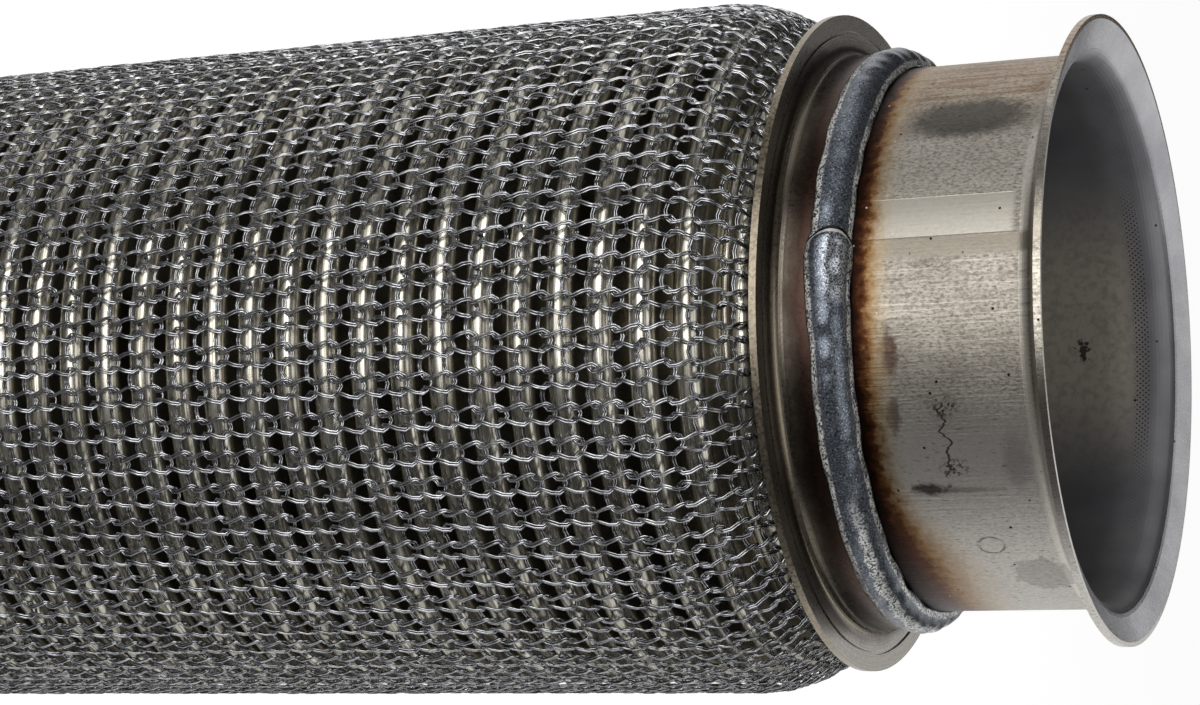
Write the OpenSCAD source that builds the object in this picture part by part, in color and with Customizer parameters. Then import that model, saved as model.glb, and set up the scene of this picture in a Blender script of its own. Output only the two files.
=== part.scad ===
// Exhaust flex pipe: a convoluted steel bellows under a knitted wire sleeve, between two flared tubes.
// It stands on one flare, with the pipe's axis along +Z. All sizes are in millimetres.

/* [End tubes] */
// Outside diameter of the end tubes
tube_od = 101.6; // [90:0.1:115]
// Wall of the end tubes
tube_wall = 1.45; // [1:0.05:2]
// Length of an end tube, from its flare's rim to its inner end
tube_length = 57.5; // [54:0.1:59]

/* [Flares] */
// Height of the flare's rim over the tube
flare_height = 6.85; // [6:0.05:10]
// Slope of the flared flange from square to the axis, in degrees
flare_slope = 20; // [10:1:35]
// Radius of the bend between tube and flange, on its outside
flare_bend = 3; // [1.5:0.1:4]
// Width of the flat land on the flare's rim
rim_land = 0.8; // [0.4:0.1:1.2]

/* [Collars] */
// Height of the collar's flange over its hub
flange_height = 7.85; // [6.5:0.05:9]
// Thickness of the collar's flange
collar_flange = 1.3; // [1:0.1:2]
// Distance from the flare's rim to the back of the collar
collar_back = 49.8; // [47:0.1:52]
// Length of the collar's hub and flange together
collar_length = 10.8; // [9:0.1:12]
// Wall of the collar's hub
hub_wall = 2.1; // [1.5:0.1:2.6]
// Radius of the fillet between hub and flange
hub_fillet = 2; // [1:0.1:3]
// Width of the turned groove on the flange's face
groove_width = 0.7; // [0.4:0.1:1]
// Depth of that groove
groove_depth = 0.35; // [0.2:0.05:0.6]
// Distance of that groove from the flange's edge
groove_inset = 3; // [2:0.1:3.5]

/* [Weld beads] */
// Reach of the bead along the tube, from the end of the hub
weld_on_tube = 3.9; // [3:0.1:5]
// Reach of the bead along the hub
weld_on_hub = 2.8; // [2:0.1:4]
// Height of the bead's crown over the line between its toes
weld_crown = 2.1; // [1:0.1:2.6]

/* [Bellows] */
// Height of the crests over the bellows' plain cuffs
crest_height = 12.7; // [10:0.1:14]
// Wall of the bellows
bellows_wall = 0.5; // [0.3:0.05:0.8]
// Distance between neighbouring crests
crest_pitch = 7.75; // [7:0.05:9]
// Width of a crest along the axis
crest_width = 5.4; // [5:0.1:5.8]
// Number of full crests
crest_count = 29; // [20:1:32]
// Gap between the collar's back and the first convolution
first_root_gap = 0.275; // [0.2:0.025:1]

/* [Knitted sleeve] */
// Thickness of the knitted wall
sleeve_wall = 1.6; // [1.2:0.05:1.8]
// Radius of the round shoulder at each end of the sleeve
shoulder_radius = 26; // [25:0.5:30]
// Height of the sleeve's end over the collar's hub
sleeve_end_height = 2; // [1.8:0.1:2.5]
// Number of knitted columns (wales) around the sleeve
wale_count = 60; // [40:1:60]
// Width of the gap between two columns
wale_gap = 4.3; // [3:0.1:4.6]
// Width of the plain hoop at mid-length and at each end
plain_band = 5; // [4:0.5:10]

/* [Liner] */
// Gap between the strip-wound liner and the bellows' cuffs
liner_gap = 0.3; // [0.2:0.1:1]
// Thickness of the liner's strip
liner_wall = 0.6; // [0.4:0.05:0.8]
// Depth of the liner's folds
liner_depth = 2.4; // [1:0.1:3]
// Distance between neighbouring folds
liner_pitch = 6; // [5:0.1:8]

/* [Clearances] */
// Gap between pieces that are welded or pressed together
seat_gap = 0.1; // [0.05:0.05:0.2]
// Gap between the flexing pieces and the end fittings
flex_gap = 0.3; // [0.2:0.05:0.4]

/* [Hidden] */
$fn = 96;
ARC_STEPS = 8;
CREST_STEPS = 6;
ROOT_STEPS = 3;
SHOULDER_STEPS = 5;
tube_r = tube_od / 2;
tube_bore_r = tube_r - tube_wall;
flare_r = tube_r + flare_height;
throat_bend = flare_bend + tube_wall;
bend_r = tube_r + flare_bend;
flange_run = (flare_r - rim_land - bend_r + throat_bend * sin(flare_slope)) / cos(flare_slope);
bend_z = throat_bend * cos(flare_slope) + flange_run * sin(flare_slope);
rim_edge = tube_wall / cos(flare_slope) - rim_land * tan(flare_slope);
cuff_bore_r = tube_r + flex_gap;
cuff_r = cuff_bore_r + bellows_wall;
hub_bore_r = cuff_r + flex_gap;
hub_r = hub_bore_r + hub_wall;
collar_r = hub_r + flange_height;
collar_front = collar_back - collar_length;
flange_front = collar_back - collar_flange;
groove_r = collar_r - groove_inset;
weld_seat_r = tube_r + seat_gap;
weld_toes = [[weld_seat_r, collar_front - weld_on_tube], [hub_r + seat_gap, collar_front + weld_on_hub]];
crest_half = crest_width / 2;
root_half = (crest_pitch - crest_width) / 2;
first_crest = collar_back + first_root_gap + root_half + crest_half + crest_pitch;
overall_length = 2 * first_crest + (crest_count - 1) * crest_pitch;
bellows_r = cuff_r + crest_height;
cuff_start = collar_front + flex_gap;
sleeve_r = bellows_r + flex_gap + sleeve_wall;
sleeve_start = collar_back + flex_gap;
shoulder_drop = sleeve_r - hub_r - sleeve_end_height;
shoulder_angle = acos(1 - shoulder_drop / shoulder_radius);
shoulder_end = sleeve_start + shoulder_radius * sin(shoulder_angle);
crest_reach = shoulder_radius - sleeve_wall - flex_gap - crest_half;
wale_angle = 360 / wale_count - wale_gap / sleeve_r * 180 / PI;
hoop_angle = plain_band / shoulder_radius * 180 / PI;
hoop_inset = sleeve_wall / 6;
wale_end_angle = hoop_inset / shoulder_radius * 180 / PI;
liner_r = cuff_bore_r - liner_gap;
liner_start = tube_length + flex_gap;
liner_folds = floor((overall_length - 2 * liner_start) / liner_pitch - 0.5);
liner_lead = (overall_length - 2 * liner_start - (liner_folds - 0.5) * liner_pitch) / 2;

// Points along an arc, in [radius, height], from one angle to another
function arc(centre, radius, from, to, steps = ARC_STEPS) =
    [for (i = [0 : steps]) let (a = from + (to - from) * i / steps) centre + radius * [cos(a), sin(a)]];

function reversed(points) = [for (i = [len(points) - 1 : -1 : 0]) points[i]];

// The outline of a thin sheet between its outer and inner faces
function sheet_section(faces) = concat(faces[0], reversed(faces[1]));

// The arc that rises by a crown over the line between two points
function crowned(a, b, crown) =
    let (
        chord = norm(b - a),
        radius = (chord * chord / 4 + crown * crown) / (2 * crown),
        along = (b - a) / chord,
        inward = [-along[1], along[0]],
        centre = (a + b) / 2 + (radius - crown) * inward,
        from = atan2(a[1] - centre[1], a[0] - centre[0]),
        to = atan2(b[1] - centre[1], b[0] - centre[0])
    )
    arc(centre, radius, from, to);

// A crest's radius, lower at the ends of the bellows, where it follows the sleeve's shoulder
function crest_z(k) = first_crest + k * crest_pitch;
function into_shoulder(z) = max(0, shoulder_end - z, z - overall_length + shoulder_end);
function crest_r(k) =
    bellows_r - crest_reach + sqrt(crest_reach * crest_reach - pow(into_shoulder(crest_z(k)), 2));

// One face of the bellows' sheet, inset from the outer face by a depth
function convolution(k, inset) =
    let (top = crest_r(k) - crest_half, foot = cuff_r + root_half, z = crest_z(k))
    concat(
        arc([foot, z - crest_half - root_half], root_half + inset, 180, 90, ROOT_STEPS),
        arc([top, z], crest_half - inset, -90, 90, CREST_STEPS),
        arc([foot, z + crest_half + root_half], root_half + inset, -90, -180, ROOT_STEPS)
    );
function bellows_face(inset) =
    concat(
        [[cuff_r - inset, cuff_start]],
        [for (k = [-1 : crest_count]) each convolution(k, inset)],
        [[cuff_r - inset, overall_length - cuff_start]]
    );

// One face of a knitted column or of a hoop, inset from the sleeve's outer face by a depth
function shoulder(inset, from, to) =
    arc([sleeve_r - shoulder_radius, shoulder_end], shoulder_radius - inset, from, to, SHOULDER_STEPS);
function mirrored(points) = [for (p = reversed(points)) [p[0], overall_length - p[1]]];
function wale_face(inset) =
    let (lower = shoulder(inset, wale_end_angle - shoulder_angle, 0))
    concat(lower, mirrored(lower));
function end_hoop(inset) = shoulder(inset, -shoulder_angle, hoop_angle - shoulder_angle);
function middle_hoop(inset) =
    [for (side = [-1, 1]) [sleeve_r - inset, (overall_length + side * plain_band) / 2]];
wale_faces = [wale_face(0), wale_face(sleeve_wall)];

// One face of the folded liner, inset from the outer face by a depth
function liner_fold(k, inset) =
    let (
        high = liner_r - inset,
        low = high - liner_depth,
        start = liner_start + liner_lead + k * liner_pitch - inset,
        end = start + liner_pitch / 2 + 2 * inset
    )
    [[high, start], [low, start], [low, end], [high, end]];
function liner_face(inset) =
    concat(
        [[liner_r - inset, liner_start]],
        [for (k = [0 : liner_folds - 1]) each liner_fold(k, inset)],
        [[liner_r - inset, overall_length - liner_start]]
    );

// A thin sheet turned about the axis, between its outer and inner faces
module turned_sheet(outer, inner) {
    rotate_extrude() polygon(sheet_section([outer, inner]));
}

// Puts a piece of the lower end at the upper end
module at_upper_end() {
    translate([0, 0, overall_length]) mirror([0, 0, 1]) children();
}

module end_tube() {
    bend = [bend_r, bend_z];
    to_flange = 270 - flare_slope;
    outer_bend = arc(bend, flare_bend, 180, to_flange);
    inner_bend = arc(bend, throat_bend, 180, to_flange);
    rim = [[flare_r, rim_edge], [flare_r, 0], [flare_r - rim_land, 0]];
    inner_end = [[tube_bore_r, tube_length], [tube_r, tube_length]];
    rotate_extrude() polygon(concat(outer_bend, rim, reversed(inner_bend), inner_end));
}

module end_weld_bead() {
    seat = [
        [hub_r + seat_gap, collar_front - seat_gap],
        [weld_seat_r, collar_front - seat_gap]
    ];
    rotate_extrude() polygon(concat(crowned(weld_toes[0], weld_toes[1], weld_crown), seat));
}

module end_collar() {
    fillet = arc([hub_r + hub_fillet, flange_front - hub_fillet], hub_fillet, 180, 90);
    face_groove = [
        [groove_r - groove_width, flange_front],
        [groove_r - groove_width, flange_front + groove_depth],
        [groove_r, flange_front + groove_depth],
        [groove_r, flange_front]
    ];
    edge = [[collar_r, flange_front], [collar_r, collar_back]];
    bore = [[hub_bore_r, collar_back], [hub_bore_r, collar_front]];
    rotate_extrude() polygon(concat([[hub_r, collar_front]], fillet, face_groove, edge, bore));
}

module lower_tube() {
    color("#a9a294") end_tube();
}

module lower_weld_bead() {
    color("#50555c") end_weld_bead();
}

module lower_collar() {
    color("#6e645a") end_collar();
}

module bellows() {
    color("#c9bd9f") turned_sheet(bellows_face(0), bellows_face(bellows_wall));
}

// The knitted columns, with two rows of long gaps between them, on a hoop at each end and one at mid-length
module knitted_sleeve() {
    color("#55565a") {
        for (i = [0 : wale_count - 1])
            rotate(i * 360 / wale_count)
                rotate_extrude(angle = wale_angle) polygon(sheet_section(wale_faces));
        turned_sheet(end_hoop(hoop_inset), end_hoop(sleeve_wall - hoop_inset));
        at_upper_end() turned_sheet(end_hoop(hoop_inset), end_hoop(sleeve_wall - hoop_inset));
        turned_sheet(middle_hoop(hoop_inset), middle_hoop(sleeve_wall - hoop_inset));
    }
}

module interlock_liner() {
    color("#b0aca2") turned_sheet(liner_face(0), liner_face(liner_wall));
}

module upper_collar() {
    color("#6e645a") at_upper_end() end_collar();
}

module upper_weld_bead() {
    color("#50555c") at_upper_end() end_weld_bead();
}

module upper_tube() {
    color("#a9a294") at_upper_end() end_tube();
}

lower_tube();
lower_weld_bead();
lower_collar();
bellows();
knitted_sleeve();
interlock_liner();
upper_collar();
upper_weld_bead();
upper_tube();
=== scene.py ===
"""Looks of an exhaust flex pipe around its CAD frame: wire sleeve, bellows, liner, weld beads and steel."""

import math

import bpy
import numpy as np
from mathutils import Matrix, Vector


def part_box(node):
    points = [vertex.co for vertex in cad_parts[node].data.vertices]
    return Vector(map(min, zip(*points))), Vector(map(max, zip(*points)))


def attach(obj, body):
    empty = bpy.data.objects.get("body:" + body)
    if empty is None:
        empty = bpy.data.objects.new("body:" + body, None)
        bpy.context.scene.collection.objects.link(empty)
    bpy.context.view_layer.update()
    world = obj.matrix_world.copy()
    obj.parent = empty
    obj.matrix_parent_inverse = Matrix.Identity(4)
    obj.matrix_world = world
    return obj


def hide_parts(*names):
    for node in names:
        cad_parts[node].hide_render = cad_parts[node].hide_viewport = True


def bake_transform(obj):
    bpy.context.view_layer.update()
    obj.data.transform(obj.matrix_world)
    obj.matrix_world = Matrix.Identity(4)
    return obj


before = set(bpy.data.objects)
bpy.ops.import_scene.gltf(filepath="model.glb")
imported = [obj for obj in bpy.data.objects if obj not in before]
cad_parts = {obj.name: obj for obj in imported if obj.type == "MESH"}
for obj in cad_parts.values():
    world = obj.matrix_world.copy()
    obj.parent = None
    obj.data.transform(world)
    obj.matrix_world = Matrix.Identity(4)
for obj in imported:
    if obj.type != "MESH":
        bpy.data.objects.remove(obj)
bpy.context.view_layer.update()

# Sizes of the frame, in millimetres
MM = 0.001
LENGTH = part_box("upper_tube")[1][2] / MM
MIDDLE = LENGTH / 2
SLEEVE_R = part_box("knitted_sleeve")[1][0] / MM
SLEEVE_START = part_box("knitted_sleeve")[0][2] / MM
BELLOWS_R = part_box("bellows")[1][0] / MM
BELLOWS_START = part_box("bellows")[0][2] / MM
LINER_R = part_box("interlock_liner")[1][0] / MM
LINER_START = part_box("interlock_liner")[0][2] / MM
COLLAR_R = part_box("lower_collar")[1][0] / MM
COLLAR_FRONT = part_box("lower_collar")[0][2] / MM
COLLAR_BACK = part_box("lower_collar")[1][2] / MM

# Tube and collar, in millimetres
TUBE_R = 50.8
HUB_R = 54.0
FLANGE = 1.3

# Bellows sheet, in millimetres
CUFF_R = 51.6
BELLOWS_WALL = 0.5
CREST_PITCH = 7.75
CREST_HALF = 2.7
ROOT_HALF = CREST_PITCH / 2 - CREST_HALF
CREST_COUNT = 29
FIRST_CREST = MIDDLE - (CREST_COUNT - 1) / 2 * CREST_PITCH

# Sleeve wall and shoulder, in millimetres
SLEEVE_WALL = 1.6
FLEX_GAP = 0.3
SHOULDER_R = 26.0
SLEEVE_END_R = HUB_R + 2.0
SHOULDER_TURN = math.acos(1 - (SLEEVE_R - SLEEVE_END_R) / SHOULDER_R)
SHOULDER_END = SLEEVE_START + SHOULDER_R * math.sin(SHOULDER_TURN)
CREST_REACH = SHOULDER_R - SLEEVE_WALL - FLEX_GAP - CREST_HALF

# Liner strip, in millimetres
LINER_WALL = 0.6
LINER_DEPTH = 2.4
LINER_PITCH = 6.0

# Steps of the bellows' and liner's meshes, with those of a crest and a root for each face of the bellows
BELLOWS_AROUND = 76
OUTER_STEPS = (8, 3)
INNER_STEPS = (2, 2)
LINER_AROUND = 72
LINER_FOLD_ANGLE = math.radians(40)

# Knitted wires, in millimetres
WALES = 64
FIRST_WALE = math.radians(2.9)
COURSES = 54
WALE_PITCH = 2 * math.pi * SLEEVE_R / WALES
WIRE_R = 0.2
STRAND_OFFSET = 0.22
LOOP_HEIGHT = 3.5
LOOP_WIDTH = 1.27
LOOP_LEAN = -0.33
LOOP_DEPTH = 0.5
STRAND_ROLL = 0.55
END_ROOM = 4.2
EDGE_ROOM = 2.3
EDGE_LOOP = 0.5
STITCH_STEPS = 14
WIRE_SIDES = 4

# Unevenness of the knit: sway of each stitch, waves of the courses and roll of the strands
SWAY = 0.12
SWAY_SEED = 7
WAVE_HEIGHT = 0.3
WAVE_DRIFT = 0.25
WAVE_COUNTS = (2, 6)
WAVE_SEED = 11
ROLL_DRIFT = 0.37
ROLL_COUNTS = (30, 70)
ROLL_SEED = 13
EDGE_SHARE = 0.1
EDGE_COURSES = 4

# Weld bead, in millimetres
WELD_ON_TUBE = 3.9
WELD_ON_HUB = 2.8
WELD_CROWN = 2.1
WELD_SEAT = 0.05
RIPPLE_PITCH = 1.4
RIPPLE_HEIGHT = 0.06
LUMP_HEIGHT = 0.16
NOSE_FACING = 21.5
NOSE_HEIGHT = 1.35
NOSE_ROUND = 2.3
NOSE_FADE = 14.0
NOSE_RISE = 0.9
NOSE_SPREAD = 1.9
SPREAD_RISE = 4.0
SPREAD_FADE = 9.0
RIPPLE_BOW = 1.6
SEAT_DEPTH = 0.2
SEAT_STEP = 0.4

# Unevenness of the weld bead, and steps of its mesh
TOE_WANDER = 0.07
TOE_COUNTS = (8, 40)
RIPPLE_COUNTS = (10, 60)
LUMP_COUNTS = (30, 70)
LUMP_SKEW = 0.02
BEAD_SEEDS = {"lower": 21, "upper": 31}
BEAD_AROUND = 600
BEAD_ACROSS = 18

# Zones around the pipe, as facing angles in degrees: start, end and soft edge
PAINTED_LIGHT_LOW_SIDE = (-100.0, -25.0, 20.0)
TOP_SIDE = (70.0, 100.0, 26.0)
PALE_STRIPE = (31.0, 42.0, 4.0)
GOLD_STREAKS = (58.0, 95.0, 8.0)
HIGHLIGHT_STREAKS = (3.0, 13.0, 7.0)
SEAM_AND_SHEEN = (20.5, 28.8, 0.2)
SEAM_SHADE = (17.0, 19.5, 1.5)
PAINTED_HIGHLIGHT_SIDE = (-70.0, 35.0, 15.0)
WIDE_HEAT = (-110.0, -62.0, 42.0)
SILVER_CROWN = (-110.0, -45.0, 20.0)

# Zones along the tube, as distances from its rim in millimetres: start, end and soft edge
PAINTED_HIGHLIGHT_BAND = (4.2, 5.2, 0.7)
KNURL_BAND = (6.7, 9.4, 0.2)
PALE_PATCH_BAND = (12.0, 30.0, 6.0)
SPATTER_BAND = (28.0, 34.0, 2.0)

# Stains on the upper tube: facing angle, distance from the rim, half its size around and along, then how
# frayed and soft its edge is, its strength and its colour
STAINS = (
    (49.5, 17.5, 5.2, 10.5, 0.8, 0.3, 0.85, "#433f3a"),
    (-1.5, 28.8, 4.0, 1.5, 2.0, 0.35, 0.85, "#46302c"),
    (-14.5, 29.0, 3.0, 1.2, 2.4, 0.4, 0.7, "#3c2a25"),
    (-30.5, 24.4, 1.1, 3.4, 2.2, 0.5, 0.85, "#191614"),
    (-30.8, 18.5, 0.6, 6.0, 2.2, 0.5, 0.45, "#57432f"),
    (-56.0, 9.3, 5.6, 5.4, 1.4, 0.07, 0.35, "#565550"),
    (-25.0, 8.6, 5.0, 2.2, 1.6, 0.5, 0.3, "#4d4841"),
)

# Other marks, placed and sized as the stains are
RING_MARK = (-45.5, 16.6, 2.2, 2.4)
INNER_STAIN = (-176.0, 20.0, 1.9, 1.1)
BRANCH_LINE = 20.4
BRANCH_BEND = 8.0
BRANCH_HALF = 0.13
BRANCH_ZONE = (-27.0, -13.0, 1.5)
TUFTS = ((-13.0, 20.0, 2.4, 3.2), (-26.0, 19.5, 2.4, 3.2))

# Camera, in metres and degrees
CAMERA_PLACE = (-0.0007, -0.5351, LENGTH * MM + 0.1264)
CAMERA_PITCH = 23.31
CAMERA_ROLL = 2.88
CAMERA_LENS = 88.89
CAMERA_SENSOR = 36.0
CAMERA_NEAR = 0.01

# Stage, in metres. The floor's glow changes over a soft step in Y, from in front of the pipe to behind it
FLOOR_HALF = 40.0
FLOOR_STEP = (-0.15, 0.12)
SEEN_GLOW = (0.88, 0.95)
MIRRORED_GLOW = (0.02, 0.95)
WORLD_STRENGTH = 0.07
LAMP_TARGET = (0, 0, 0.26)
LAMPS = {
    "front_softbox": ((-0.33, -0.82, 0.25), (0.8, 0.46), 4.0),
    "low_strip": ((-0.2, -0.42, 0.04), (0.4, 0.22), 0.95),
    "left_fill": ((-0.9, -0.1, 0.45), (0.6, 0.7), 0.85),
    "right_fill": ((0.9, -0.2, 0.45), (0.45, 0.7), 0.95),
    "mouth_light": ((0.15, -0.5, 1.05), (0.9, 0.6), 1.4),
    "rear_light": ((0.25, 0.75, 0.95), (0.9, 1.0), 1.1),
}


# Meshes

def mesh_object(name, points, faces, material):
    """A smooth mesh object from points in millimetres and an array of faces with equal corner counts."""
    corners = faces.shape[1]
    mesh = bpy.data.meshes.new(name)
    mesh.vertices.add(len(points))
    mesh.vertices.foreach_set("co", (points * MM).astype(np.float32).ravel())
    mesh.loops.add(faces.size)
    mesh.loops.foreach_set("vertex_index", faces.astype(np.int32).ravel())
    mesh.polygons.add(len(faces))
    mesh.polygons.foreach_set("loop_start", np.arange(len(faces), dtype=np.int32) * corners)
    mesh.update(calc_edges=True)
    mesh.validate()
    mesh.shade_smooth()
    rest = mesh.attributes.new("rest", "FLOAT_VECTOR", "POINT")
    rest.data.foreach_set("vector", points.astype(np.float32).ravel())
    mesh.materials.append(material)
    obj = bpy.data.objects.new(name, mesh)
    bpy.context.scene.collection.objects.link(obj)
    return obj


def grid_faces(rows, columns):
    """Faces of a grid of points that closes on itself both ways, in row order."""
    i, j = np.meshgrid(np.arange(rows), np.arange(columns), indexing="ij")
    below = (i + 1) % rows
    beside = (j + 1) % columns
    corners = [i * columns + j, i * columns + beside, below * columns + beside, below * columns + j]
    return np.stack(corners, axis=-1).reshape(-1, 4)


def around_axis(radius, angle, height):
    """Points from radius, facing angle and height. Angle 0 faces -Y, and it grows towards -X."""
    return np.stack([-radius * np.sin(angle), -radius * np.cos(angle), height], axis=-1)


def revolved(name, profile, steps, material):
    """A closed profile of (radius, height) points turned about the axis."""
    profile = np.array(profile)
    angle = np.linspace(0, 2 * math.pi, steps, endpoint=False)
    points = around_axis(profile[None, :, 0], angle[:, None], profile[None, :, 1] + 0 * angle[:, None])
    return mesh_object(name, points.reshape(-1, 3), grid_faces(steps, len(profile)), material)


def arc(centre, radius, start, end, steps):
    """Points of (radius, height) along an arc, with its angles in degrees."""
    turn = np.radians(np.linspace(start, end, steps + 1))
    return [(centre[0] + radius * math.cos(a), centre[1] + radius * math.sin(a)) for a in turn]


def wave_noise(turn, lowest, highest, seed):
    """Smooth noise around a circle, about -1 to 1, made of a seeded sum of waves."""
    random = np.random.default_rng(seed)
    total = np.zeros_like(turn)
    for count in range(lowest, highest + 1):
        total += random.normal() * np.sin(count * turn + random.uniform(0, 2 * math.pi))
    return total / math.sqrt(highest - lowest + 1)


def flexing(obj, node):
    """Bakes a piece's place into its mesh and hides its CAD node, which the piece stands in for."""
    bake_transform(obj)
    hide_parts(node)


# Bellows and liner

def convolution(radius, height, inset, crest_steps, root_steps):
    """One convolution of the bellows' sheet, inset from its outer face by a depth."""
    top = (radius - CREST_HALF, height)
    foot = CUFF_R + ROOT_HALF
    side = CREST_HALF + ROOT_HALF
    rise = arc((foot, height - side), ROOT_HALF + inset, 180, 90, root_steps)
    crest = arc(top, CREST_HALF - inset, -90, 90, crest_steps)
    fall = arc((foot, height + side), ROOT_HALF + inset, -90, -180, root_steps)
    return rise + crest + fall[:-1]


def crest_radius(height):
    """Radius of a crest, lower at the ends of the bellows, where it follows the sleeve's shoulder."""
    into = max(0, SHOULDER_END - height, height - LENGTH + SHOULDER_END)
    return BELLOWS_R - CREST_REACH + math.sqrt(CREST_REACH ** 2 - into ** 2)


def bellows_face(inset, crest_steps, root_steps):
    """One face of the bellows' sheet from end to end."""
    points = [(CUFF_R - inset, BELLOWS_START)]
    for k in range(-1, CREST_COUNT + 1):
        height = FIRST_CREST + k * CREST_PITCH
        points += convolution(crest_radius(height), height, inset, crest_steps, root_steps)
    return points + [(CUFF_R - inset, LENGTH - BELLOWS_START)]


def make_bellows(material):
    """The convoluted sheet tube under the sleeve."""
    outer = bellows_face(0, *OUTER_STEPS)
    inner = bellows_face(BELLOWS_WALL, *INNER_STEPS)
    sheet = revolved("bellows_sheet", outer + inner[::-1], BELLOWS_AROUND, material)
    flexing(sheet, "bellows")


def liner_face(inset):
    """One face of the folded liner from end to end."""
    run = LENGTH - 2 * LINER_START
    folds = math.floor(run / LINER_PITCH - 0.5)
    lead = (run - (folds - 0.5) * LINER_PITCH) / 2
    high = LINER_R - inset
    low = high - LINER_DEPTH
    points = [(high, LINER_START)]
    for k in range(folds):
        start = LINER_START + lead + k * LINER_PITCH - inset
        end = start + LINER_PITCH / 2 + 2 * inset
        points += [(high, start), (low, start), (low, end), (high, end)]
    return points + [(high, LENGTH - LINER_START)]


def make_liner(material):
    """The strip-wound liner inside the bellows."""
    profile = liner_face(0) + liner_face(LINER_WALL)[::-1]
    liner = revolved("liner_strip", profile, LINER_AROUND, material)
    liner.data.set_sharp_from_angle(angle=LINER_FOLD_ANGLE)
    flexing(liner, "interlock_liner")


# Knitted sleeve

WIRE_ARC = SHOULDER_R - LOOP_DEPTH - STRAND_OFFSET - WIRE_R
WIRE_SHOULDER = WIRE_ARC * SHOULDER_TURN
WIRE_STRAIGHT = LENGTH - 2 * SHOULDER_END
WIRE_RUN = WIRE_STRAIGHT + 2 * WIRE_SHOULDER


def sleeve_surface(along, out):
    """Radius and height of a point on the sleeve, from its distance along the profile and out of it."""
    before = np.minimum(along - WIRE_SHOULDER, 0)
    after = np.maximum(along - WIRE_SHOULDER - WIRE_STRAIGHT, 0)
    angle = (before + after) / WIRE_ARC
    level = SHOULDER_END + np.clip(along - WIRE_SHOULDER, 0, WIRE_STRAIGHT)
    radius = SLEEVE_R - SHOULDER_R + (WIRE_ARC + out) * np.cos(angle)
    return radius, level + (WIRE_ARC + out) * np.sin(angle)


def knitted_path(courses, strand):
    """Points along one wire of each course, as an array of courses by points by 3."""
    random = np.random.default_rng(SWAY_SEED)
    sway = np.repeat(random.normal(0, SWAY, (COURSES, WALES, 2)), STITCH_STEPS, axis=1)[courses]
    step = np.arange(WALES * STITCH_STEPS)
    turn = 2 * math.pi * step / STITCH_STEPS
    place = FIRST_WALE + turn / WALES
    row = END_ROOM + (courses[:, None] - 1) * (WIRE_RUN - 2 * END_ROOM) / (COURSES - 3)
    row = np.clip(row, EDGE_ROOM, WIRE_RUN - EDGE_ROOM)
    edge = np.minimum(courses, COURSES - 1 - courses)[:, None]
    loop = LOOP_HEIGHT * np.where(edge == 0, EDGE_LOOP, 1.0)
    wave = WAVE_HEIGHT * wave_noise(place[None, :] + WAVE_DRIFT * courses[:, None], *WAVE_COUNTS, WAVE_SEED)
    slope_u = WALE_PITCH / (2 * math.pi) + LOOP_LEAN * np.cos(turn) + 2 * LOOP_WIDTH * np.cos(2 * turn)
    slope_v = -loop * np.sin(turn)
    roll = STRAND_ROLL * wave_noise(place[None, :] + ROLL_DRIFT * courses[:, None], *ROLL_COUNTS, ROLL_SEED)
    aside = strand * STRAND_OFFSET * np.cos(roll) / np.hypot(slope_u, slope_v)
    across = LOOP_LEAN * np.sin(turn) + LOOP_WIDTH * np.sin(2 * turn) - aside * slope_v
    settle = np.minimum(1, EDGE_SHARE + edge / EDGE_COURSES)
    along = row + loop * np.cos(turn) + aside * slope_u + settle * (sway[..., 0] + wave)
    out = strand * STRAND_OFFSET * np.sin(roll) - LOOP_DEPTH * np.cos(2 * turn)
    radius, height = sleeve_surface(along, out)
    angle = place + across / SLEEVE_R + sway[..., 1] / SLEEVE_R
    return around_axis(radius, angle, height)


def wire_tubes(path):
    """Points and faces of thin closed tubes around each row of a path."""
    rows, steps, _ = path.shape
    ahead = np.roll(path, -1, axis=1) - np.roll(path, 1, axis=1)
    ahead /= np.linalg.norm(ahead, axis=2, keepdims=True)
    radial = path * np.array([1, 1, 0])
    radial /= np.linalg.norm(radial, axis=2, keepdims=True)
    side = np.cross(radial, ahead)
    side /= np.linalg.norm(side, axis=2, keepdims=True)
    out = np.cross(ahead, side)
    turn = 2 * math.pi * (np.arange(WIRE_SIDES) + 0.5) / WIRE_SIDES
    ring = WIRE_R * (
        np.cos(turn)[None, None, :, None] * side[:, :, None, :]
        + np.sin(turn)[None, None, :, None] * out[:, :, None, :]
    )
    points = (path[:, :, None, :] + ring).reshape(-1, 3)
    one = grid_faces(steps, WIRE_SIDES)
    faces = (one[None] + np.arange(rows)[:, None, None] * steps * WIRE_SIDES).reshape(-1, 4)
    return points, faces


def make_sleeve(material):
    """The sleeve's two parallel wires, in plain knit, each in a lower and an upper half."""
    halves = {"lower": np.arange(COURSES // 2), "upper": np.arange(COURSES // 2, COURSES)}
    for half, courses in halves.items():
        for strand, sign in {"left": -1, "right": 1}.items():
            points, faces = wire_tubes(knitted_path(courses, sign))
            wires = mesh_object(f"knit_{half}_{strand}_wire", points, faces, material)
            flexing(wires, "knitted_sleeve")


# Weld beads

def weld_crown(share, spread):
    """Radius and distance from the rim on a bead's plain crown, and its outward direction there."""
    first = np.array([TUBE_R + WELD_SEAT, COLLAR_FRONT - WELD_ON_TUBE])
    last = np.stack([HUB_R + WELD_SEAT + 0 * spread, COLLAR_FRONT + WELD_ON_HUB + spread], axis=-1)
    chord = np.linalg.norm(last - first, axis=-1, keepdims=True)
    radius = (chord ** 2 / 4 + WELD_CROWN ** 2) / (2 * WELD_CROWN)
    line = (last - first) / chord
    outward = np.stack([line[..., 1], -line[..., 0]], axis=-1)
    centre = (first + last) / 2 - (radius - WELD_CROWN) * outward
    turn = np.arcsin(chord / 2 / radius) * share[..., None]
    direction = np.cos(turn) * outward + np.sin(turn) * line
    return centre + radius * direction, direction


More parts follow.
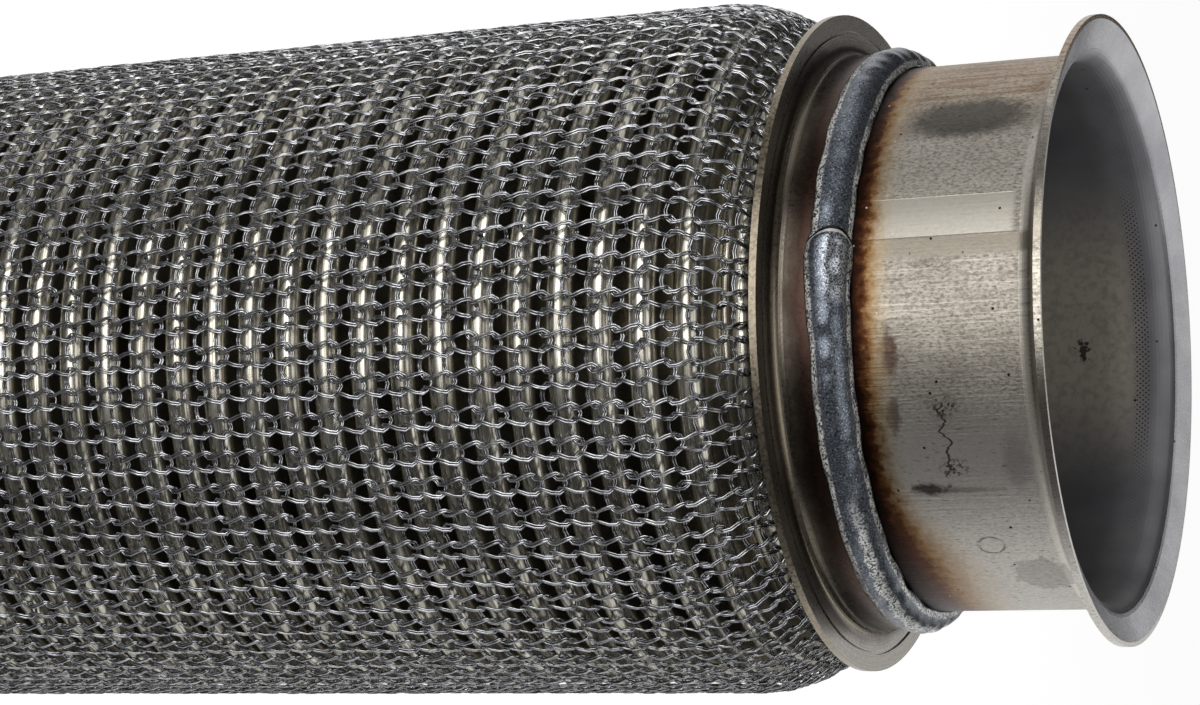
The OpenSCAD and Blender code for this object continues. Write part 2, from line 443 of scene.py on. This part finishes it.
def bead_face(turn, share, seed):
    """Radius and distance from the rim over a bead's face, and each point's distance past the nose."""
    wander = np.where(share < 0, wave_noise(turn, *TOE_COUNTS, seed), wave_noise(turn, *TOE_COUNTS, seed + 1))
    past = (math.radians(NOSE_FACING) - turn) * TUBE_R
    spread = NOSE_SPREAD * np.clip(past / SPREAD_RISE, 0, 1) * np.exp(-np.clip(past, 0, None) / SPREAD_FADE)
    place, outward = weld_crown(share + TOE_WANDER * wander * np.abs(share) ** 3, spread)
    crown = 1 - share ** 2
    phase = math.pi * (turn * TUBE_R + RIPPLE_BOW * share ** 2) / RIPPLE_PITCH
    phase = phase + wave_noise(turn, *RIPPLE_COUNTS, seed + 2)
    ripple = RIPPLE_HEIGHT * np.abs(np.sin(phase)) * crown
    lumps = LUMP_HEIGHT * wave_noise(turn + LUMP_SKEW * share, *LUMP_COUNTS, seed + 3) * crown
    past = past - NOSE_ROUND * share ** 2
    fade = np.exp(-np.clip(past, 0, None) / NOSE_FADE)
    overlap = NOSE_HEIGHT * np.clip(past / NOSE_RISE, 0, 1) * fade * crown
    return place + (ripple + lumps + overlap)[..., None] * outward, past


def add_values(obj, name, values):
    """Stores a value at each point of a mesh, for its material."""
    obj.data.attributes.new(name, "FLOAT", "POINT").data.foreach_set("value", values.ravel())


def make_weld_bead(end, material):
    """A rippled bead between tube and hub, with the overlap where its end meets its start."""
    turn = np.linspace(-math.pi, math.pi, BEAD_AROUND, endpoint=False)[:, None]
    share = np.linspace(-1, 1, BEAD_ACROSS)[None, :]
    face, past = bead_face(turn, share, BEAD_SEEDS[end])
    hub_seat = [HUB_R - SEAT_DEPTH, COLLAR_FRONT + SEAT_STEP]
    tube_seat = [TUBE_R - SEAT_DEPTH, COLLAR_FRONT - SEAT_STEP]
    seats = np.broadcast_to([hub_seat, tube_seat], (BEAD_AROUND, 2, 2))
    section = np.concatenate([face, seats], axis=1)
    height = LENGTH - section[..., 1] if end == "upper" else section[..., 1]
    points = around_axis(section[..., 0], turn, height).reshape(-1, 3)
    faces = grid_faces(BEAD_AROUND, BEAD_ACROSS + 2)
    if end == "upper":
        faces = faces[:, ::-1]
    bead = mesh_object(f"{end}_bead", points, faces, material)
    add_values(bead, "across", np.broadcast_to(np.append(share, [1.0, -1.0]), (BEAD_AROUND, BEAD_ACROSS + 2)))
    add_values(bead, "past_nose", np.concatenate([past, past[:, :2]], axis=1))
    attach(bead, f"{end}_end")
    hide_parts(f"{end}_weld_bead")


# Materials

def srgb(code):
    """A linear colour from a hex code."""
    parts = [int(code[i:i + 2], 16) / 255 for i in (1, 3, 5)]
    return [p / 12.92 if p <= 0.04045 else ((p + 0.055) / 1.055) ** 2.4 for p in parts] + [1.0]


class Look:
    """A material, with short calls that add nodes. A value is a number, a colour or a node's output."""

    def __init__(self, name, metallic, roughness):
        self.material = bpy.data.materials.new(name)
        self.material.use_nodes = True
        self.tree = self.material.node_tree
        self.shader = self.tree.nodes["Principled BSDF"]
        self.shader.inputs["Metallic"].default_value = metallic
        self.shader.inputs["Roughness"].default_value = roughness

    def put(self, socket, value):
        if isinstance(value, bpy.types.NodeSocket):
            self.tree.links.new(value, socket)
        else:
            socket.default_value = value

    def set(self, name, value):
        self.put(self.shader.inputs[name], value)

    def add(self, kind, inputs, output=0, **settings):
        node = self.tree.nodes.new(kind)
        for key, value in settings.items():
            setattr(node, key, value)
        for key, value in inputs.items():
            self.put(node.inputs[key], value)
        return node.outputs[output]

    def math(self, operation, a, b=0.0):
        return self.add("ShaderNodeMath", {0: a, 1: b}, operation=operation)

    def rest_place(self):
        """The place of a bending piece at rest, in millimetres."""
        return self.add("ShaderNodeAttribute", {}, output="Vector", attribute_name="rest")

    def fixed_place(self):
        """The place of a rigid piece in its body, in millimetres."""
        place = self.add("ShaderNodeTexCoord", {}, output="Object")
        return self.add("ShaderNodeVectorMath", {0: place, "Scale": 1 / MM}, operation="SCALE")

    def split(self, vector):
        node = self.tree.nodes.new("ShaderNodeSeparateXYZ")
        self.put(node.inputs[0], vector)
        return node.outputs[0], node.outputs[1], node.outputs[2]

    def join(self, x, y, z):
        return self.add("ShaderNodeCombineXYZ", {0: x, 1: y, 2: z})

    def facing(self, x, y):
        """Angle about the axis in degrees, 0 towards -Y and growing towards -X."""
        angle = self.math("ARCTAN2", self.math("MULTIPLY", x, -1.0), self.math("MULTIPLY", y, -1.0))
        return self.math("DEGREES", angle)

    def length(self, x, y):
        square = self.math("ADD", self.math("MULTIPLY", x, x), self.math("MULTIPLY", y, y))
        return self.math("SQRT", square)

    def noise(self, vector, scale, detail=2.0, roughness=0.5):
        inputs = {"Vector": vector, "Scale": scale, "Detail": detail, "Roughness": roughness}
        return self.add("ShaderNodeTexNoise", inputs)

    def dots(self, vector, scale, radius, share):
        """Round dots, in a share of the cells of a grid."""
        node = self.tree.nodes.new("ShaderNodeTexVoronoi")
        self.put(node.inputs["Vector"], vector)
        node.inputs["Scale"].default_value = scale
        chance = self.split(node.outputs["Color"])[0]
        near = self.smooth(node.outputs["Distance"], 0.7 * radius * scale, radius * scale, 1.0, 0.0)
        return self.math("MULTIPLY", near, self.math("GREATER_THAN", chance, 1.0 - share))

    def smooth(self, value, low, high, to_low=0.0, to_high=1.0):
        """A smooth step of value from low to high."""
        inputs = {"Value": value, "From Min": low, "From Max": high, "To Min": to_low, "To Max": to_high}
        return self.add("ShaderNodeMapRange", inputs, interpolation_type="SMOOTHSTEP")

    def window(self, value, low, high, edge):
        """1 between low and high, falling to 0 within an edge outside them."""
        rise = self.smooth(value, low - edge, low)
        return self.math("MULTIPLY", rise, self.smooth(value, high, high + edge, 1.0, 0.0))

    def mix(self, share, a, b):
        return self.add("ShaderNodeMix", {0: share, 6: a, 7: b}, output=2, data_type="RGBA")

    def both(self, a, b):
        return self.math("MULTIPLY", a, b)

    def tinted(self, colour, share, code, strength=1.0):
        """A colour mixed with a hex code by a share and a strength."""
        return self.mix(self.both(share, strength), colour, srgb(code))

    def ramp(self, value, stops):
        """Colours along a value, from (place, hex code) stops."""
        node = self.tree.nodes.new("ShaderNodeValToRGB")
        self.put(node.inputs[0], value)
        elements = node.color_ramp.elements
        for place, _ in stops[2:]:
            elements.new(place)
        for element, (place, code) in zip(elements, stops):
            element.position = place
            element.color = srgb(code)
        return node.outputs[0]

    def bump(self, height, distance):
        self.set("Normal", self.add("ShaderNodeBump", {"Height": height, "Distance": distance * MM}))


class EndSurface:
    """Where a point of an end fitting is: its distance from the rim, facing angle and radius."""

    def __init__(self, look, end):
        self.look = look
        self.place = look.fixed_place()
        x, y, z = look.split(self.place)
        self.from_rim = look.math("SUBTRACT", LENGTH, z) if end == "upper" else z
        self.facing = look.facing(x, y)
        self.around = look.math("MULTIPLY", self.facing, math.radians(TUBE_R))
        self.radius = look.length(x, y)
        normal_x, normal_y, _ = look.split(look.add("ShaderNodeTexCoord", {}, output="Normal"))
        outward = look.math("ADD", look.math("MULTIPLY", x, normal_x), look.math("MULTIPLY", y, normal_y))
        self.outward = look.math("DIVIDE", outward, self.radius)

    def spot(self, facing, from_rim, half_round, half_along):
        """Distance from a spot's centre, which is 1 at its edge."""
        look = self.look
        across = look.math("SUBTRACT", self.around, math.radians(facing) * TUBE_R)
        along = look.math("SUBTRACT", self.from_rim, from_rim)
        return look.length(look.math("DIVIDE", across, half_round), look.math("DIVIDE", along, half_along))


def wire_look():
    """Drawn wire, darker in places."""
    look = Look("sleeve_wire", metallic=1.0, roughness=0.12)
    tone = look.noise(look.rest_place(), 0.35, detail=3.0)
    look.set("Base Color", look.ramp(tone, [(0.3, "#7d7e81"), (0.7, "#c0c1c4")]))
    return look.material


def bellows_look():
    """Sheet with a faint straw tint and fine streaks around it."""
    look = Look("bellows_steel", metallic=0.97, roughness=0.25)
    place = look.rest_place()
    x, y, z = look.split(place)
    drawn = look.join(look.both(look.facing(x, y), 0.06), 0.0, look.both(z, 3.0))
    streaks = look.noise(drawn, 1.0, detail=4.0)
    blotch = look.noise(place, 0.12, detail=3.0)
    tint = look.ramp(blotch, [(0.3, "#aaa69b"), (0.7, "#d2cec2")])
    look.set("Base Color", look.tinted(tint, look.smooth(streaks, 0.4, 0.75), "#6f6756"))
    look.set("Roughness", look.smooth(streaks, 0.3, 0.7, 0.2, 0.31))
    look.bump(streaks, 0.02)
    return look.material


def liner_look():
    """Plain satin strip."""
    look = Look("liner_steel", metallic=1.0, roughness=0.42)
    tone = look.noise(look.rest_place(), 0.1, detail=3.0)
    look.set("Base Color", look.ramp(tone, [(0.3, "#8d8880"), (0.7, "#aaa49a")]))
    return look.material


def heat_tint(look, at, ragged):
    """Share and colour of the burnt band beside the weld, wider on the low side."""
    from_weld = look.math("SUBTRACT", COLLAR_FRONT - WELD_ON_TUBE, at.from_rim)
    stray = look.both(look.math("SUBTRACT", ragged, 0.5), 4.5)
    wider = look.smooth(look.window(at.facing, *WIDE_HEAT), 0.0, 1.0, 1.0, 2.6)
    reach = look.math("DIVIDE", look.math("ADD", from_weld, stray), look.both(wider, 9.0))
    stops = [(0.0, "#130d0a"), (0.12, "#2a170f"), (0.24, "#4d2f1c"), (0.36, "#82623d"), (0.6, "#a69373")]
    return look.smooth(reach, 0.25, 0.85, 1.0, 0.0), look.ramp(reach, stops)


def bare_tube(look, at, grain, cloud, lines):
    """Steel of the tube's outside: painted paler below as painted light, gold streaks on top, drawn lines
    with painted highlight streaks, and a painted highlight band before the flare.
    """
    lit_low_side = look.window(at.facing, *PAINTED_LIGHT_LOW_SIDE)
    steel = look.ramp(cloud, [(0.3, "#827c72"), (0.7, "#ada79d")])
    steel = look.tinted(steel, look.window(at.facing, *PALE_STRIPE), "#cbc5bb", 0.5)
    steel = look.tinted(steel, look.window(at.facing, *TOP_SIDE), "#b39e86", 0.8)
    # Painted light: the low side of the tube is painted paler.
    steel = look.tinted(steel, lit_low_side, "#cbc7c1", 0.85)
    long = look.join(look.both(at.around, 0.7), look.both(at.from_rim, 0.07), 0.0)
    gold = look.smooth(look.noise(long, 1.0, detail=3.0), 0.46, 0.6)
    steel = look.tinted(steel, look.both(gold, look.window(at.facing, *GOLD_STREAKS)), "#7d5f3f", 0.6)
    mottled = look.both(look.smooth(grain, 0.4, 0.7), look.smooth(lit_low_side, 0.0, 1.0, 0.8, 0.3))
    steel = look.tinted(steel, mottled, "#4c463e")
    # Painted highlight: a bright band on the tube just before the flare's root.
    root_highlight = look.both(look.window(at.from_rim, *PAINTED_HIGHLIGHT_BAND), look.window(at.facing, *PAINTED_HIGHLIGHT_SIDE))
    steel = look.tinted(steel, root_highlight, "#dbd6cb", 0.6)
    # The drawn lines are painted lighter and darker only in the zone of the front highlight, as painted
    # highlight streaks.
    drawn = look.window(at.facing, *HIGHLIGHT_STREAKS)
    steel = look.tinted(steel, look.both(drawn, look.smooth(lines, 0.54, 0.7, 0.0, 0.4)), "#d9d2c2")
    steel = look.tinted(steel, look.both(drawn, look.smooth(lines, 0.36, 0.46, 0.35, 0.0)), "#6a6356")
    steel = look.tinted(steel, look.window(at.facing, *SEAM_SHADE), "#8c8579")
    short = look.join(look.both(at.around, 2.2), look.both(at.from_rim, 0.6), at.radius)
    dashes = look.smooth(look.noise(short, 1.0, detail=3.0, roughness=0.6), 0.62, 0.68)
    dashes = look.both(dashes, look.smooth(lit_low_side, 0.0, 1.0, 0.15, 0.5))
    return look.tinted(steel, dashes, "#3a342d")


def branching_mark(look, at):
    """Share of a dark mark: a bent line with a tuft of twigs at each end."""
    wander = look.noise(look.join(at.around, 0.0, 0.0), 0.3, detail=4.0)
    bent = look.both(look.math("SUBTRACT", wander, 0.5), BRANCH_BEND)
    off_line = look.math("SUBTRACT", look.math("SUBTRACT", at.from_rim, bent), BRANCH_LINE)
    line = look.window(off_line, -BRANCH_HALF, BRANCH_HALF, 0.18)
    mark = look.both(line, look.window(at.facing, *BRANCH_ZONE))
    twigs = look.smooth(look.noise(at.place, 1.3, detail=3.0, roughness=0.7), 0.51, 0.57)
    for tuft in TUFTS:
        near = look.smooth(at.spot(*tuft), 0.4, 1.1, 1.0, 0.0)
        mark = look.math("MAXIMUM", mark, look.both(near, twigs))
    return mark


def tube_marks(look, at, colour, ragged):
    """Stains, a ring mark and a dark branching mark on one tube."""
    frayed = look.math("SUBTRACT", ragged, 0.5)
    for *spot, fray, soft, strength, code in STAINS:
        edge = look.math("ADD", at.spot(*spot), look.both(frayed, fray))
        colour = look.tinted(colour, look.smooth(edge, 1.0 - soft, 1.0 + soft, strength, 0.0), code)
    edge = look.math("ADD", at.spot(*RING_MARK), look.both(frayed, 0.25))
    ring = look.both(look.window(edge, 0.93, 1.0, 0.1), look.smooth(ragged, 0.4, 0.55, 0.25, 0.65))
    colour = look.tinted(colour, ring, "#3d3833")
    return look.tinted(colour, branching_mark(look, at), "#1b1714", 0.85)


def tube_knurl(look, at):
    """Share of the fine knurl behind the flare, clearest on the far side."""
    rows = look.math("SINE", look.both(at.around, 6.3))
    columns = look.math("SINE", look.both(at.from_rim, 5.4))
    points = look.smooth(look.both(rows, columns), 0.45, 0.75)
    knurl = look.both(points, look.window(at.from_rim, *KNURL_BAND))
    return look.both(knurl, look.smooth(look.math("ABSOLUTE", at.facing), 142.0, 158.0, 0.25, 1.0))


def tube_inside(look, at, cloud, ragged, knurl):
    """Grey of the tube's inside and the flare's front, with painted shade deeper in, a paler patch on the far
    side, dark spots and the knurl.
    """
    grey = look.ramp(cloud, [(0.3, "#8b8b8f"), (0.7, "#a6a5a8")])
    # Painted shade: darker deeper into the bore.
    grey = look.tinted(grey, look.smooth(at.from_rim, 7.0, 14.0), "#3e3e43", 0.42)
    far_side = look.smooth(look.math("ABSOLUTE", at.facing), 138.0, 172.0)
    # A paler patch on the far side of the bore.
    pale_patch = look.both(look.window(at.from_rim, *PALE_PATCH_BAND), far_side)
    grey = look.tinted(grey, look.both(pale_patch, look.smooth(ragged, 0.3, 0.6, 0.6, 1.0)), "#d6cdbd")
    grey = look.tinted(grey, look.dots(at.place, 0.35, 0.3, 0.12), "#161515")
    frayed = look.both(look.math("SUBTRACT", ragged, 0.5), 5.0)
    stain = look.smooth(look.math("ADD", at.spot(*INNER_STAIN), frayed), 0.7, 1.0, 0.85, 0.0)
    grey = look.tinted(grey, stain, "#121110")
    return look.tinted(grey, knurl, "#141416", 0.95)


def tube_outside(look, at, end, steel, ragged):
    """The tube's outside: heat tint, dots and spatter over bare steel, and marks on the upper tube."""
    if end == "upper":
        steel = tube_marks(look, at, steel, ragged)
    burnt, tint = heat_tint(look, at, ragged)
    outside = look.mix(burnt, steel, tint)
    outside = look.tinted(outside, look.dots(at.place, 0.42, 0.3, 0.3), "#1c1512")
    spatter = look.both(look.dots(at.place, 0.6, 0.22, 0.2), look.window(at.from_rim, *SPATTER_BAND))
    return look.tinted(outside, spatter, "#c9c2b4", 0.8)


def tube_look(end):
    """Satin seam-welded tube, with heat tint from the weld outwards and a grey inside."""
    look = Look(f"{end}_tube_steel", metallic=1.0, roughness=0.36)
    at = EndSurface(look, end)
    short = look.join(look.both(at.around, 2.6), look.both(at.from_rim, 1.2), at.radius)
    grain = look.noise(short, 1.0, detail=5.0, roughness=0.75)
    cloud = look.noise(at.place, 0.08, detail=4.0, roughness=0.55)
    ragged = look.noise(at.place, 0.6, detail=5.0, roughness=0.62)
    drawn = look.join(look.both(at.around, 2.0), look.both(at.from_rim, 0.05), 0.0)
    lines = look.noise(drawn, 1.0, detail=3.0)
    # The seam band is smoother, and its lighter colour is partly the seam's own and partly a painted sheen.
    seam = look.both(look.window(at.facing, *SEAM_AND_SHEEN), look.smooth(at.from_rim, 6.0, 7.5))
    steel = look.tinted(bare_tube(look, at, grain, cloud, lines), seam, "#bab5ab", 0.75)
    outside = tube_outside(look, at, end, steel, ragged)
    turned_in = look.smooth(at.outward, -0.2, -0.1, 1.0, 0.0)
    knurl = look.both(tube_knurl(look, at), turned_in)
    look.set("Base Color", look.mix(turned_in, outside, tube_inside(look, at, cloud, ragged, knurl)))
    bore = look.both(turned_in, look.smooth(at.radius, TUBE_R - 1.0, TUBE_R + 1.0, 1.0, 0.0))
    look.set("Metallic", look.smooth(bore, 0.0, 1.0, 1.0, 0.65))
    flare = look.smooth(at.from_rim, 2.0, 3.2, 1.0, 0.0)
    rough = look.math("SUBTRACT", look.smooth(grain, 0.3, 0.7, 0.41, 0.5), look.both(flare, 0.16))
    look.set("Roughness", look.math("ADD", rough, look.both(bore, 0.16)))
    smoother = look.math("MAXIMUM", seam, look.math("MAXIMUM", flare, turned_in))
    relief = look.both(look.math("ADD", grain, lines), look.math("SUBTRACT", 1.0, look.both(smoother, 0.7)))
    look.bump(look.math("ADD", relief, look.both(knurl, 3.0)), 0.045)
    return look.material


def collar_look(end):
    """Turned ring with brown heat tint on its hub and a pale edge."""
    look = Look(f"{end}_collar_steel", metallic=1.0, roughness=0.3)
    at = EndSurface(look, end)
    rings = look.noise(look.join(look.both(at.radius, 5.0), 0.0, 0.0), 1.0, detail=3.0)
    speck = look.noise(at.place, 1.6, detail=4.0, roughness=0.65)
    cloud = look.noise(at.place, 0.16, detail=4.0)
    burnt = look.math("ADD", at.from_rim, look.both(look.math("SUBTRACT", cloud, 0.5), 4.0))
    along_hub = look.smooth(burnt, COLLAR_FRONT + WELD_ON_HUB, COLLAR_BACK - FLANGE - 1.0)
    hub = look.ramp(along_hub, [(0.0, "#44342c"), (0.3, "#352924"), (0.65, "#443b34"), (1.0, "#676056")])
    face = look.mix(look.smooth(rings, 0.35, 0.65), srgb("#807b75"), srgb("#a29d95"))
    frayed = look.math("ADD", at.radius, look.both(cloud, 2.0))
    face = look.tinted(face, look.smooth(frayed, HUB_R + 2.6, HUB_R + 5.0, 0.7, 0.0), "#463830")
    edge = look.mix(look.smooth(speck, 0.4, 0.65), srgb("#7d7466"), srgb("#9d9380"))
    colour = look.mix(look.smooth(at.radius, HUB_R + 0.8, HUB_R + 2.0), hub, face)
    # The fillet between hub and face gets a straw tint and a painted highlight.
    fillet_tint_and_highlight = look.window(at.radius, HUB_R + 0.6, HUB_R + 1.0, 0.25)
    colour = look.tinted(colour, fillet_tint_and_highlight, "#9a8d78", 0.6)
    colour = look.mix(look.smooth(at.radius, COLLAR_R - 0.2, COLLAR_R - 0.05), colour, edge)
    colour = look.tinted(colour, look.smooth(speck, 0.64, 0.72, 0.0, 0.6), "#241a14")
    look.set("Base Color", colour)
    look.set("Roughness", look.smooth(speck, 0.3, 0.7, 0.25, 0.38))
    look.bump(look.math("ADD", look.both(rings, 0.3), look.both(speck, 0.6)), 0.02)
    return look.material


def weld_silver_and_highlight(look, at, across, past):
    """Share of the silver flecks along both toes and part of the crown, and of a painted highlight along the
    overlap's nose.
    """
    flecks = look.noise(at.place, 2.4, detail=2.0, roughness=0.6)
    patch = look.noise(at.place, 0.25, detail=3.0)
    toes = look.window(look.math("ABSOLUTE", across), 0.72, 0.9, 0.12)
    toes = look.both(toes, look.smooth(patch, 0.36, 0.5, 0.5, 1.0))
    crown = look.window(look.math("ADD", across, look.both(patch, 0.8)), 0.3, 0.55, 0.15)
    crown = look.both(crown, look.window(at.facing, *SILVER_CROWN))
    silver = look.both(look.math("MAXIMUM", toes, crown), look.smooth(flecks, 0.45, 0.5))
    # Painted highlight: a pale crescent along the overlap's nose.
    return look.math("MAXIMUM", silver, look.window(past, 0.0, 0.6, 0.2))


def weld_look(end):
    """Slate scale with dark pits and silver flecks, a painted highlight just past the overlap's nose and
    painted shade just before it.
    """
    look = Look(f"{end}_weld_scale", metallic=0.72, roughness=0.3)
    at = EndSurface(look, end)
    across = look.add("ShaderNodeAttribute", {}, output="Fac", attribute_name="across")
    past = look.add("ShaderNodeAttribute", {}, output="Fac", attribute_name="past_nose")
    # The silver share holds the real flecks and the painted highlight at the nose.
    silver = weld_silver_and_highlight(look, at, across, past)
    pitted = look.noise(at.place, 3.2, detail=3.0, roughness=0.7)
    scale = look.ramp(pitted, [(0.36, "#1b1e23"), (0.45, "#575d66"), (0.6, "#6e747d"), (0.68, "#c4c7ca")])
    # Painted highlight on the crown just past the overlap's nose.
    painted_highlight = look.both(look.window(past, 3.0, 9.0, 4.0), look.window(across, -0.4, 0.0, 0.3))
    painted_highlight = look.both(painted_highlight, look.smooth(pitted, 0.43, 0.56))
    colour = look.tinted(look.tinted(scale, painted_highlight, "#dcdee0", 0.6), silver, "#f0efea")
    # Painted shade in the crevice just before the overlap's nose.
    look.set("Base Color", look.tinted(colour, look.window(past, -0.5, -0.2, 0.3), "#1d1f24"))
    look.set("Metallic", look.smooth(silver, 0.0, 1.0, 0.72, 0.4))
    fresh = look.both(look.window(past, 1.0, 7.0, 4.0), 0.12)
    look.set("Roughness", look.math("SUBTRACT", look.smooth(pitted, 0.3, 0.7, 0.26, 0.36), fresh))
    look.bump(look.math("ADD", pitted, look.both(silver, 1.5)), 0.03)
    return look.material


def dress(node, material):
    """Gives a CAD node its material."""
    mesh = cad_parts[node].data
    mesh.materials.clear()
    mesh.materials.append(material)


# Stage

def make_floor():
    """A pale floor that keeps the object's shadow, mirrored white behind the pipe and dim in front."""
    size = FLOOR_HALF
    mesh = bpy.data.meshes.new("floor")
    corners = [(-size, -size, 0), (size, -size, 0), (size, size, 0), (-size, size, 0)]
    mesh.from_pydata(corners, [], [(0, 1, 2, 3)])
    floor = bpy.data.objects.new("floor", mesh)
    bpy.context.scene.collection.objects.link(floor)
    look = Look("floor", metallic=0.0, roughness=0.9)
    look.set("Base Color", srgb("#7c7c7c"))
    rays = look.tree.nodes.new("ShaderNodeLightPath").outputs
    y = look.split(look.add("ShaderNodeTexCoord", {}, output="Object"))[1]
    seen = look.both(rays["Is Camera Ray"], look.smooth(y, *FLOOR_STEP, *SEEN_GLOW))
    mirrored = look.math("MAXIMUM", rays["Is Glossy Ray"], rays["Is Transmission Ray"])
    mirrored = look.both(mirrored, look.smooth(y, *FLOOR_STEP, *MIRRORED_GLOW))
    look.set("Emission Color", srgb("#ffffff"))
    look.set("Emission Strength", look.math("MAXIMUM", seen, mirrored))
    mesh.materials.append(look.material)


def add_lamp(name, place, size, brightness):
    """A soft rectangular lamp that faces the pipe and isn't seen itself."""
    data = bpy.data.lights.new(name, "AREA")
    data.shape = "RECTANGLE"
    data.size, data.size_y = size
    data.energy = brightness * math.pi * size[0] * size[1]
    lamp = bpy.data.objects.new(name, data)
    lamp.location = place
    lamp.rotation_euler = (Vector(LAMP_TARGET) - Vector(place)).to_track_quat("-Z", "Y").to_euler()
    lamp.visible_camera = False
    bpy.context.scene.collection.objects.link(lamp)


def light_scene():
    """A large softbox in front, softer light from both sides, above and behind, and a dim world."""
    for name, (place, size, brightness) in LAMPS.items():
        add_lamp(name, place, size, brightness)
    world = bpy.data.worlds.new("studio")
    world.use_nodes = True
    background = world.node_tree.nodes["Background"]
    background.inputs["Color"].default_value = srgb("#d0d0d0")
    background.inputs["Strength"].default_value = WORLD_STRENGTH
    bpy.context.scene.world = world


def place_camera():
    """The camera looks down along the pipe with +Z to the picture's right."""
    pitch = math.radians(CAMERA_PITCH)
    roll = math.radians(CAMERA_ROLL)
    back = Vector((0, -math.cos(pitch), math.sin(pitch)))
    level = Vector((0, math.sin(pitch), math.cos(pitch)))
    right = math.cos(roll) * level + math.sin(roll) * Vector((1, 0, 0))
    up = back.cross(right)
    data = bpy.data.cameras.new("camera")
    data.sensor_width = CAMERA_SENSOR
    data.lens = CAMERA_LENS
    data.clip_start = CAMERA_NEAR
    camera = bpy.data.objects.new("camera", data)
    camera.matrix_world = Matrix.Translation(CAMERA_PLACE) @ Matrix((right, up, back)).transposed().to_4x4()
    bpy.context.scene.collection.objects.link(camera)
    bpy.context.scene.camera = camera


# The scene

make_bellows(bellows_look())
make_liner(liner_look())
make_sleeve(wire_look())
for end in ("lower", "upper"):
    make_weld_bead(end, weld_look(end))
    dress(f"{end}_tube", tube_look(end))
    dress(f"{end}_collar", collar_look(end))
make_floor()
light_scene()
place_camera()
bpy.context.scene.view_settings.view_transform = "Standard"
